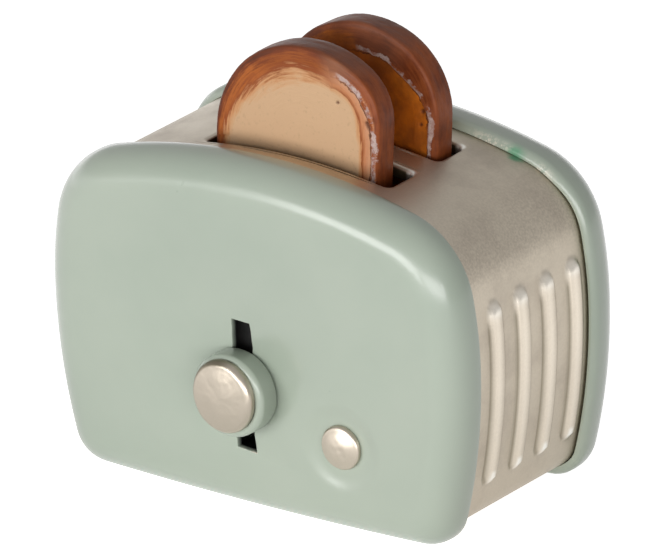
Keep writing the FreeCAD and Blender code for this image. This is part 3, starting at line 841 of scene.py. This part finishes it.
setFloats(plateBand, rib=ribs, seam=seams, glint=glints, pooled=pooled)
finishPiece(plateBand, bandPlate, "case", ("band",), 50)
print("band ready")


# A turned piece: a profile of radius and depth, spun about a line to the rear
def turnedPiece(name, profile, x, z, count, wander=0.0):
    def place(column, row):
        turn = 2 * math.pi * (column % count) / count
        radius, y = profile[row]
        lump = noise.noise(Vector((2 * math.cos(turn), 2 * math.sin(turn), 3.1)))
        bend = 1 + wander * lump if radius else 1
        return x + radius * bend * math.cos(turn), y, z + radius * bend * math.sin(turn)
    piece = bentSheet(name, count, len(profile) - 1, place)
    mergeDoubles(piece)
    outwards(piece)
    return piece


def roundCorner(centreRadius, centreY, radius, start, end, steps):
    points = []
    for n in range(steps + 1):
        angle = math.radians(start + (end - start) * n / steps)
        points.append((centreRadius + radius * math.cos(angle), centreY + radius * math.sin(angle)))
    return points


# Knob: an enamelled cup, hollowed for the plated cap that is pressed into it
knob = {
    "backY": -17.15, "length": 3.1, "radius": 5.1, "frontRound": 0.75, "backRound": 0.3,
    "recessRadius": 4.1, "recessDepth": 0.9, "stemHole": 1.23, "shade": 0.30,
    "capLift": 0.28, "capNarrow": 0.955, "capTall": 1.015,
    "capRadius": 4.45, "capEdge": 1.1, "capDome": 0.5, "capRound": 0.8, "bossRadius": 3.55,
}


def makeKnobCup():
    front = knob["backY"] - knob["length"]
    middle = (case["leverX"], (knob["backY"] + front) / 2, case["leverZ"])
    cup = addCylinder("knobCup", middle, knob["radius"], knob["length"], 120)
    fixPlace(cup)
    editPiece(cup, "FACE")
    pick(cup, "FACE", lambda f: f.normal.y < -0.9)
    bpy.ops.mesh.inset(thickness=(knob["radius"] - knob["recessRadius"]) * mm)
    bpy.ops.mesh.extrude_region_move(TRANSFORM_OT_translate={"value": (0, knob["recessDepth"] * mm, 0)})
    bpy.ops.mesh.select_mode(type="EDGE")

    def rim(y, low, high):
        return lambda e: all(abs(v.co.y - y * mm) < 1e-6 and low < math.hypot(
            v.co.x / mm - case["leverX"], v.co.z / mm - case["leverZ"]) < high for v in e.verts)
    pick(cup, "EDGE", rim(front, 5.0, 5.2))
    bpy.ops.mesh.bevel(offset=knob["frontRound"] * mm, segments=8)
    pick(cup, "EDGE", rim(knob["backY"], 5.0, 5.2))
    bpy.ops.mesh.bevel(offset=knob["backRound"] * mm, segments=4)
    pick(cup, "EDGE", rim(front, 4.0, 4.2))
    bpy.ops.mesh.bevel(offset=0.12 * mm, segments=3)
    leaveEdit()
    roundHole(cup, (case["leverX"], front, case["leverZ"]), knob["stemHole"], 8, 40)
    return cup


def makeKnobCap():
    front = knob["backY"] - knob["length"]
    reach, edge, dome, turn = knob["capRadius"], knob["capEdge"], knob["capDome"], knob["capRound"]
    ball = (reach ** 2 + dome ** 2) / (2 * dome)
    face = front - edge - dome
    profile = []
    for n in range(15):
        radius = (reach - turn) * n / 14
        profile.append((radius, face + ball - math.sqrt(ball ** 2 - radius ** 2)))
    last = profile[-1]
    profile += roundCorner(reach - turn, last[1] + turn, turn, -84, 0, 7)
    profile += roundCorner(reach - 0.25, front - 0.25, 0.25, 0, 90, 5)
    boss, bossReach = front + knob["recessDepth"], knob["bossRadius"]
    profile += [(bossReach, front), (bossReach, boss - 0.1), (bossReach - 0.1, boss), (0.0, boss)]
    cap = turnedPiece("knobCap", profile, case["leverX"], case["leverZ"], 120, 0.012)
    for vertex in cap.data.vertices:
        if vertex.co.y < (front + 0.01) * mm:
            place = vertex.co / mm
            vertex.co.x += (place.x - case["leverX"]) * (knob["capNarrow"] - 1) * mm
            vertex.co.z += ((place.z - case["leverZ"]) * (knob["capTall"] - 1) + knob["capLift"]) * mm
            if vertex.co.y < (front - 0.2) * mm:
                lump = noise.noise(place * 0.55) * 0.07 + noise.noise(place * 1.9) * 0.02
                vertex.co.y += max(0.0, lump + 0.02) * mm
    return cap


knobCup = makeKnobCup()
cupFront = knob["backY"] - knob["length"] + knob["frontRound"]
# Painted shade: the cup's side wall, behind its rounded front rim, is darkened by the knob's shade share
setFloats(knobCup, inSlot=[knob["shade"] * smoothStep((v.co.y / mm - cupFront + 0.3) / 0.5)
                           for v in knobCup.data.vertices])
finishPiece(knobCup, enamelPaint, "lever_carriage", ("knob_cup",))
knobCap = makeKnobCap()
# Painted shadow: a dark crescent along the cap's upper left edge, where the gap to the cup lies in shade
shades = []
for vertex in knobCap.data.vertices:
    across, up = vertex.co.x / mm - case["leverX"], vertex.co.z / mm - case["leverZ"] - knob["capLift"]
    around = math.cos(math.atan2(up, across) - math.radians(122))
    shades.append(0.75 * smoothStep((math.hypot(across, up) / knob["capRadius"] - 0.86) / 0.06)
                  * smoothStep((around - 0.55) / 0.35))
setFloats(knobCap, seam=shades)
finishPiece(knobCap, capPlate, "lever_carriage", ("knob_cap",), 60)
print("knob ready")


# Dial: a domed rivet head in the dimple, with hammer marks, its shank and spread end
dial = {
    "headRadius": 2.7, "edge": 0.5, "dome": 0.7, "seat": -16.5, "shank": 1.0, "tailRadius": 1.5,
    "tailStart": -15.15, "tail": 0.5,
    "dents": ((0.45, 0.05, 0.75, 0.05), (0.75, -0.65, 0.65, 0.045), (-0.55, -0.1, 0.8, 0.04),
              (-0.2, 0.9, 0.7, 0.03), (0.1, -1.3, 0.7, 0.03)),
}


def makeDial():
    reach, dome, edge = dial["headRadius"], dial["dome"], dial["edge"]
    ball = (reach ** 2 + dome ** 2) / (2 * dome)
    crown = dial["seat"] - edge - dome
    turn = 0.42
    profile = []
    for n in range(17):
        radius = (reach - turn) * n / 16
        profile.append((radius, crown + ball - math.sqrt(ball ** 2 - radius ** 2)))
    profile += roundCorner(reach - turn, profile[-1][1] + turn, turn, -66, 0, 5)
    profile += roundCorner(reach - 0.15, dial["seat"] - 0.15, 0.15, 0, 90, 3)
    start, tail, spread = dial["tailStart"], dial["tail"], dial["tailRadius"]
    profile += [(dial["shank"], dial["seat"]), (dial["shank"], start), (spread, start),
                (spread, start + tail / 2), (0.9, start + 0.85 * tail), (0.0, start + tail)]
    head = turnedPiece("dialHead", profile, shell["dialX"], shell["dialZ"] + 0.12, 96, 0.014)
    for vertex in head.data.vertices:
        if vertex.co.y < (dial["seat"] - 0.4) * mm:
            x, z = vertex.co.x / mm - shell["dialX"], vertex.co.z / mm - shell["dialZ"]
            sink = sum(depth * math.exp(-((x - a) ** 2 + (z - b) ** 2) / (0.5 * r) ** 2)
                       for a, b, r, depth in dial["dents"])
            lump = 0.05 * noise.noise(Vector((x * 0.9, z * 0.9, 5.0)))
            vertex.co.y += (max(0.0, sink) + lump * (1 - math.hypot(x, z) / 3)) * mm
    return head


dialHead = makeDial()
finishPiece(dialHead, dialPlate, "dial", ("dial_stud",), 60)
print("dial ready")


# Toast: cream faces, brown painted crust with brush strokes, a chipped ridge where they meet
crust = {
    "dark": (0.080, 0.019, 0.006), "brown": (0.20, 0.044, 0.012), "warm": (0.32, 0.080, 0.022),
    "amber": (0.48, 0.135, 0.028), "tan": (0.66, 0.320, 0.140), "cream": (0.695, 0.452, 0.267),
    "salmon": (0.62, 0.255, 0.115), "flesh": (0.66, 0.33, 0.185), "chip": (0.42, 0.25, 0.215),
    "chipLight": (0.62, 0.47, 0.43), "skyReflection": (0.23, 0.115, 0.080),
    "baked": (0.50, 0.118, 0.005), "bakedLight": (0.74, 0.200, 0.014), "bakedDark": (0.13, 0.028, 0.004),
}
slices = {
    "toast_front": {
        "y": -4.9, "crownX": 2.1, "crownZ": 42.15, "crown": 13.5, "rightX": 12.5,
        "shoulder": 7.0, "ridgeGap": 0.72, "ridgeDrift": 1.0, "rightFrom": 0.10, "baked": 0.0, "seed": 3.0,
        "pits": ((6.5, 49.6, 0.35), (10.9, 47.4, 0.5), (10.6, 47.9, 0.4)),
    },
    "toast_rear": {
        "y": 4.9, "crownX": 2.9, "crownZ": 43.05, "crown": 12.6, "rightX": 13.7,
        "shoulder": 9.5, "ridgeGap": 1.1, "ridgeDrift": 2.1, "rightFrom": -0.32, "baked": 1.0, "seed": 11.0,
        "pits": ((11.5, 46.3, 0.45), (11.2, 44.6, 0.35)),
    },
}
toastMake = {
    "voxel": 0.24, "flare": 4.0, "ridge": 0.17, "faceSink": 0.10, "crease": 0.05, "pitDepth": 0.34,
    "strokesRound": 1.5, "strokesIn": 1.5, "strokesThrough": 900.0,
}


# How far a place on a slice's face lies in from the slice's edge
def edgeGap(bread, x, z):
    crownZ = bread["crownZ"]
    gaps = [x - (bread["crownX"] - bread["crown"])]
    if z > crownZ:
        gaps.append(bread["crown"] - math.hypot(x - bread["crownX"], z - crownZ))
    inset = bread["crown"] - bread["shoulder"]
    shoulderX = bread["rightX"] - bread["shoulder"]
    shoulderZ = crownZ + math.sqrt(inset ** 2 - (shoulderX - bread["crownX"]) ** 2)
    tilt = math.radians(toastMake["flare"])
    if z > shoulderZ and x > shoulderX:
        gaps.append(bread["shoulder"] - math.hypot(x - shoulderX, z - shoulderZ))
    else:
        gaps.append(bread["shoulder"] - ((x - shoulderX) * math.cos(tilt) - (z - shoulderZ) * math.sin(tilt)))
    return min(gaps)


def makeToast(name, pieceName, material):
    bread = slices[name]
    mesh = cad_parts[name].data.copy()
    mesh.materials.clear()
    piece = bpy.data.objects.new(pieceName, mesh)
    bpy.context.collection.objects.link(piece)
    mergeDoubles(piece, 0.002)
    addModifier(piece, "REMESH", mode="VOXEL", voxel_size=toastMake["voxel"] * mm)
    addModifier(piece, "SMOOTH", factor=0.6, iterations=6)
    crownZ = bread["crownZ"]
    offset = Vector((bread["seed"], 0, 0))
    marks = {key: [] for key in ("gap", "ring", "edge", "right", "pit", "baked", "turn", "side", "upper")}
    for vertex in piece.data.vertices:
        x, y, z = vertex.co / mm
        depth = y - bread["y"]
        gap = max(0.0, edgeGap(bread, x, z))
        turn = math.atan2(z - crownZ, x - bread["crownX"])
        right = smoothStep((math.cos(turn) - bread["rightFrom"]) / 0.45)
        onFace = smoothStep((abs(depth) - 1.2) / 0.4)
        facing = Vector((0, math.copysign(1, depth), 0))
        rough = noise.fractal(Vector((x, y, z)) * 1.1 + offset, 1.0, 2.0, 4)
        broken = smoothStep(0.75 + 1.3 * noise.noise(Vector((x, y * 0.3, z)) * 0.55 + offset * 2))
        inner = 1.35 + 0.35 * noise.noise(Vector((x, 0, z)) * 0.8 + offset)
        edge = gap - bread["ridgeGap"] - bread["ridgeDrift"] * smoothStep((turn - 0.2) / 0.8)
        ridge = right * onFace * smoothStep((0.5 - abs(edge)) / 0.35) * broken
        rise = toastMake["ridge"] * ridge * (0.75 + 0.9 * rough)
        rise -= toastMake["faceSink"] * onFace * smoothStep((edge + 0.1) / 0.6)
        rise += toastMake["crease"] * onFace * math.exp(-((edge - inner - 0.8 - 0.3 * rough) / 0.2) ** 2) * right
        for px, pz, reach in bread["pits"]:
            if depth < 0:
                rise -= toastMake["pitDepth"] * onFace * math.exp(-(((x - px) ** 2 + (z - pz) ** 2) / (0.62 * reach) ** 2))
        rise += 0.02 * rough * onFace
        vertex.co += facing * rise * mm
        lump = (1 - onFace) * (0.10 * noise.noise(Vector((x, y, z)) * 0.22 + offset)
                               + 0.04 * noise.noise(Vector((x, y * 2, z)) * 0.9 + offset) - 0.07)
        outward = Vector((math.cos(turn), 0, math.sin(turn)) if z > crownZ else (math.copysign(1, x), 0, 0))
        vertex.co += outward * lump * mm
        over = smoothStep(math.sin(turn) / 0.7) if z > crownZ else 0.0
        wideRing = gap / (2.4 + 2.6 * over)
        ring = wideRing + (max(0.0, edge + 0.3) / 2.5 - wideRing) * right
        outside = right * smoothStep((-0.2 - edge) / 0.2)
        side = max(outside, 1 - smoothStep((abs(depth) - 1.35) / 0.35))
        pit = sum(math.exp(-(((x - px) ** 2 + (z - pz) ** 2) / (0.75 * reach) ** 2))
                  for px, pz, reach in bread["pits"]) if depth < 0 else 0.0
        values = (gap, ring, edge, right, pit, bread["baked"] if depth < 0 else 0.0, turn, side,
                  smoothStep((math.sin(turn) - 0.75) / 0.2))
        for key, value in zip(marks, values):
            marks[key].append(value)
    setFloats(piece, **marks)
    finishPiece(piece, material, name, (name,), 60)
    return piece


def crustRamp(value, *stops):
    return rampNode(value, [(place, crust[name]) for place, name in stops])


def makeToastPaint():
    material, shader, coords = newMaterial("paintedToast")
    gap, ring, edge, right, pit, baked, turn, side, upper = (attributeNode(key) for key in (
        "gap", "ring", "edge", "right", "pit", "baked", "turn", "side", "upper"))
    strokes = addNode("CombineXYZ")
    wire(times(turn, toastMake["strokesRound"]), strokes.inputs["X"])
    wire(times(gap, toastMake["strokesIn"]), strokes.inputs["Y"])
    place = addNode("SeparateXYZ")
    wire(coords, place.inputs[0])
    wire(times(place.outputs["Y"], toastMake["strokesThrough"]), strokes.inputs["Z"])
    brush = noiseNode(strokes.outputs[0], 1.8, 5.0, 0.66)
    blotch = noiseNode(coords, 240.0, 4.0, 0.6)
    wander = times(minus(brush, 0.5), 0.85)
    wander = plus(wander, times(minus(blotch, 0.5), 0.4))
    wander = times(wander, rangeNode(right, 0.0, 1.0, 1.0, 0.45))
    reach = plus(ring, wander)
    wide = crustRamp(reach, (0.0, "dark"), (0.16, "brown"), (0.34, "amber"), (0.52, "warm"), (0.68, "tan"),
                     (0.95, "cream"))
    narrow = crustRamp(reach, (0.0, "salmon"), (0.35, "flesh"), (0.62, "salmon"), (0.78, "warm"),
                       (0.84, "tan"), (1.0, "cream"))
    wide = mixNode(times(upper, rangeNode(reach, 0.45, 0.8, 0.45, 0.0)), wide, crust["brown"])
    face = mixNode(right, wide, narrow)
    bakedRing = crustRamp(reach, (0.0, "brown"), (0.12, "warm"), (0.30, "bakedLight"), (1.0, "baked"))
    bakedRing = mixNode(times(upper, 0.4), bakedRing, crust["brown"])
    bakedRing = mixNode(rangeNode(blotch, 0.40, 0.60, 0.55, 0.0), bakedRing, crust["bakedDark"])
    face = mixNode(baked, face, bakedRing)
    swept = plus(times(brush, 0.45), times(blotch, 0.55))
    skin = crustRamp(swept, (0.30, "dark"), (0.44, "brown"), (0.58, "warm"), (0.74, "brown"))
    # Painted reflection: the top of the crust is greyed as if mirroring the sky
    skin = mixNode(times(upper, 0.35), skin, crust["skyReflection"])
    colour = mixNode(side, face, skin)
    crumbs = noiseNode(coords, 520.0, 4.0, 0.7)
    edge = plus(edge, rangeNode(crumbs, 0.3, 0.7, -0.3, 0.3))
    chipMask = times(rangeNode(edge, -0.42, -0.30), rangeNode(edge, 0.18, 0.32, 1.0, 0.0))
    chipMask = times(chipMask, rangeNode(right, 0.55, 0.85))
    chipped = crustRamp(crumbs, (0.40, "warm"), (0.47, "chip"), (0.55, "chipLight"), (0.66, "chip"))
    colour = mixNode(chipMask, colour, chipped)
    cracks = times(rangeNode(edge, 0.24, 0.32), rangeNode(edge, 0.40, 0.50, 1.0, 0.0))
    cracks = times(cracks, times(right, rangeNode(blotch, 0.44, 0.52, 0.0, 0.9)))
    colour = mixNode(cracks, colour, crust["dark"])
    colour = mixNode(rangeNode(pit, 0.25, 0.75, 0.0, 0.85), colour, crust["dark"])
    fine = noiseNode(coords, 1800.0, 3.0, 0.6)
    colour = mixNode(rangeNode(fine, 0.58, 0.72, 0.0, 0.12), colour, crust["dark"])
    wire(colour, shader.inputs["Base Color"])
    gloss = rangeNode(brush, 0.3, 0.7, 0.36, 0.48)
    wire(plus(gloss, times(minus(1.0, side), 0.14)), shader.inputs["Roughness"])
    shader.inputs["Specular IOR Level"].default_value = 0.25
    addBump(shader, plus(brush, times(fine, 0.15)), 0.00012, 0.5)
    return material


toastPaint = makeToastPaint()
toastFront = makeToast("toast_front", "toastFront", toastPaint)
toastRear = makeToast("toast_rear", "toastRear", toastPaint)
print("toast ready")


# Hidden and lower metal parts keep their solids and get their own finishes
metals = {
    "zincPlate": {"light": (0.62, 0.62, 0.60), "dark": (0.40, 0.41, 0.42), "roughness": 0.38, "metallic": 1.0,
                  "nodes": ("base_plate", "base_rivets", "post_screws", "tie_post_upper_left",
                            "tie_post_upper_right", "tie_post_lower_left", "tie_post_lower_right",
                            "guide_rod_left", "guide_rod_right", "rod_bracket_left", "rod_bracket_right",
                            "slider_rivets", "lever_stem", "dial_washer", "spring_washer")},
    "blackenedSteel": {"light": (0.035, 0.034, 0.033), "dark": (0.014, 0.014, 0.014), "roughness": 0.55,
                       "metallic": 0.3, "nodes": ("carriage_tray", "slider_plate")},
    "turnedBrass": {"light": (0.72, 0.53, 0.25), "dark": (0.52, 0.34, 0.13), "roughness": 0.30,
                    "metallic": 1.0, "nodes": ("tray_bush_left", "tray_bush_right")},
    "redFibre": {"light": (0.27, 0.11, 0.06), "dark": (0.16, 0.06, 0.035), "roughness": 0.75, "metallic": 0.0,
                 "nodes": ("glide_washer",)},
}


def makeMetal(name, look):
    material, shader, coords = newMaterial(name)
    cloud = noiseNode(coords, 240.0, 5.0, 0.62)
    scratch = noiseNode(coords, 900.0, 3.0, 0.6, (1.0, 0.06, 1.0))
    colour = rampNode(cloud, [(0.32, look["dark"]), (0.62, look["light"])])
    colour = mixNode(rangeNode(scratch, 0.6, 0.75, 0.0, 0.3), colour, look["dark"])
    wire(colour, shader.inputs["Base Color"])
    shader.inputs["Metallic"].default_value = look["metallic"]
    rough = rangeNode(cloud, 0.3, 0.7, look["roughness"] + 0.1, look["roughness"] - 0.06)
    wire(rough, shader.inputs["Roughness"])
    addBump(shader, plus(cloud, times(scratch, 0.3)), 0.00005, 0.5)
    return material


for metalName, look in metals.items():
    metal = makeMetal(metalName, look)
    for nodeName in look["nodes"]:
        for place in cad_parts[nodeName].material_slots:
            place.material = metal
print("inner parts ready")
